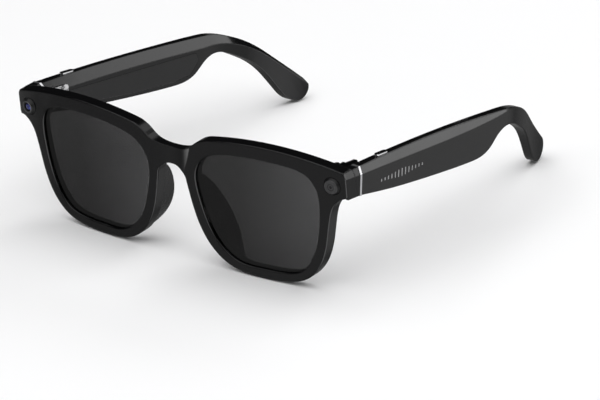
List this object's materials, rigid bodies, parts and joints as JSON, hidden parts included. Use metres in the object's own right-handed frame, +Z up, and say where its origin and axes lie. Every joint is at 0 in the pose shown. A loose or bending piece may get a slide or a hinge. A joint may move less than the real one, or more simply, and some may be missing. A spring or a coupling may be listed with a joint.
{
  "type": "smart glasses",
  "caption": "Chunky square smart glasses with folding temples, a front camera, a status light, touch strip and top keys.",
  "frame": {"origin": "centre of the footprint, on the surface the rims and temple tails rest on", "axes": "+X towards the wearer's left temple, -Y out through the lenses, +Z up"},
  "size_m": [0.1514, 0.1442, 0.0515],
  "materials": {
    "gloss_black": "polished",
    "satin_black": "satin",
    "smoke_lens": "polished tint",
    "dark_grey_plastic": "satin",
    "mid_grey_plastic": "matte",
    "bright_chrome": "polished",
    "silver_metal": "fine brushed",
    "clear_glass": "polished",
    "coated_glass": "coated",
    "black_metal": "satin",
    "light_grey_ink": "matte",
    "dark_contact": "satin",
    "amber_film": "satin",
    "board_green": "satin",
    "chip_black": "matte",
    "battery_foil": "satin"
  },
  "bodies": {
    "front": {"brow_cover": "gloss_black", "camera_barrel": "black_metal", "camera_lens_stack": "coated_glass", "camera_sensor_board": "board_green", "camera_window": "clear_glass", "front_flex_cable": "amber_film", "front_frame": "gloss_black", "left_end_housing": "gloss_black", "left_front_hinge_leaf": "silver_metal", "left_leaf_screws": "silver_metal", "left_lens": "smoke_lens", "left_nose_pad": "dark_grey_plastic", "right_end_housing": "gloss_black", "right_front_hinge_leaf": "silver_metal", "right_leaf_screws": "silver_metal", "right_lens": "smoke_lens", "right_nose_pad": "dark_grey_plastic", "status_light_board": "board_green", "status_light_guide": "clear_glass", "status_window": "mid_grey_plastic"},
    "left_temple": {"left_battery": "battery_foil", "left_chips": "chip_black", "left_circuit_board": "board_green", "left_hinge_screw": "silver_metal", "left_inner_cover": "satin_black", "left_key_switch": "silver_metal", "left_leaf_rivets": "silver_metal", "left_microphone": "silver_metal", "left_rear_key_switch": "silver_metal", "left_speaker": "chip_black", "left_speaker_grille": "black_metal", "left_temple_hinge_leaf": "silver_metal", "left_temple_shell": "gloss_black", "left_touch_marks": "light_grey_ink", "left_touch_sensor": "amber_film", "left_trim_ring": "silver_metal"},
    "right_temple": {"right_battery": "battery_foil", "right_charging_contacts": "dark_contact", "right_chips": "chip_black", "right_circuit_board": "board_green", "right_hinge_screw": "silver_metal", "right_inner_cover": "satin_black", "right_key_switch": "silver_metal", "right_leaf_rivets": "silver_metal", "right_microphone": "silver_metal", "right_speaker": "chip_black", "right_speaker_grille": "black_metal", "right_temple_hinge_leaf": "silver_metal", "right_temple_shell": "gloss_black", "right_touch_sensor": "amber_film", "right_trim_ring": "silver_metal"},
    "left_key": {"left_key_body": "bright_chrome", "left_key_cap": "gloss_black"},
    "right_key": {"right_key_body": "bright_chrome", "right_key_cap": "gloss_black"},
    "rear_key": {"left_rear_key": "dark_grey_plastic"}
  },
  "joints": [
    {"name": "left_temple_fold", "type": "hinge", "parent": "front", "child": "left_temple", "pos_m": [0.0656, -0.05968, 0.04263], "axis": [0, -0.0523, 0.9986], "range_deg": [0, 84]},
    {"name": "right_temple_fold", "type": "hinge", "parent": "front", "child": "right_temple", "pos_m": [-0.0656, -0.05968, 0.04263], "axis": [0, 0.0523, -0.9986], "range_deg": [0, 66.5]},
    {"name": "left_key_press", "type": "slide", "parent": "left_temple", "child": "left_key", "axis": [0, -0.1167, -0.9932], "range_m": [0, 0.0004], "stiffness_N_per_m": 1500},
    {"name": "right_key_press", "type": "slide", "parent": "right_temple", "child": "right_key", "axis": [0, -0.1167, -0.9932], "range_m": [0, 0.0004], "stiffness_N_per_m": 1500},
    {"name": "rear_key_press", "type": "slide", "parent": "left_temple", "child": "rear_key", "axis": [0, -0.1167, -0.9932], "range_m": [0, 0.0004], "stiffness_N_per_m": 1500}
  ]
}
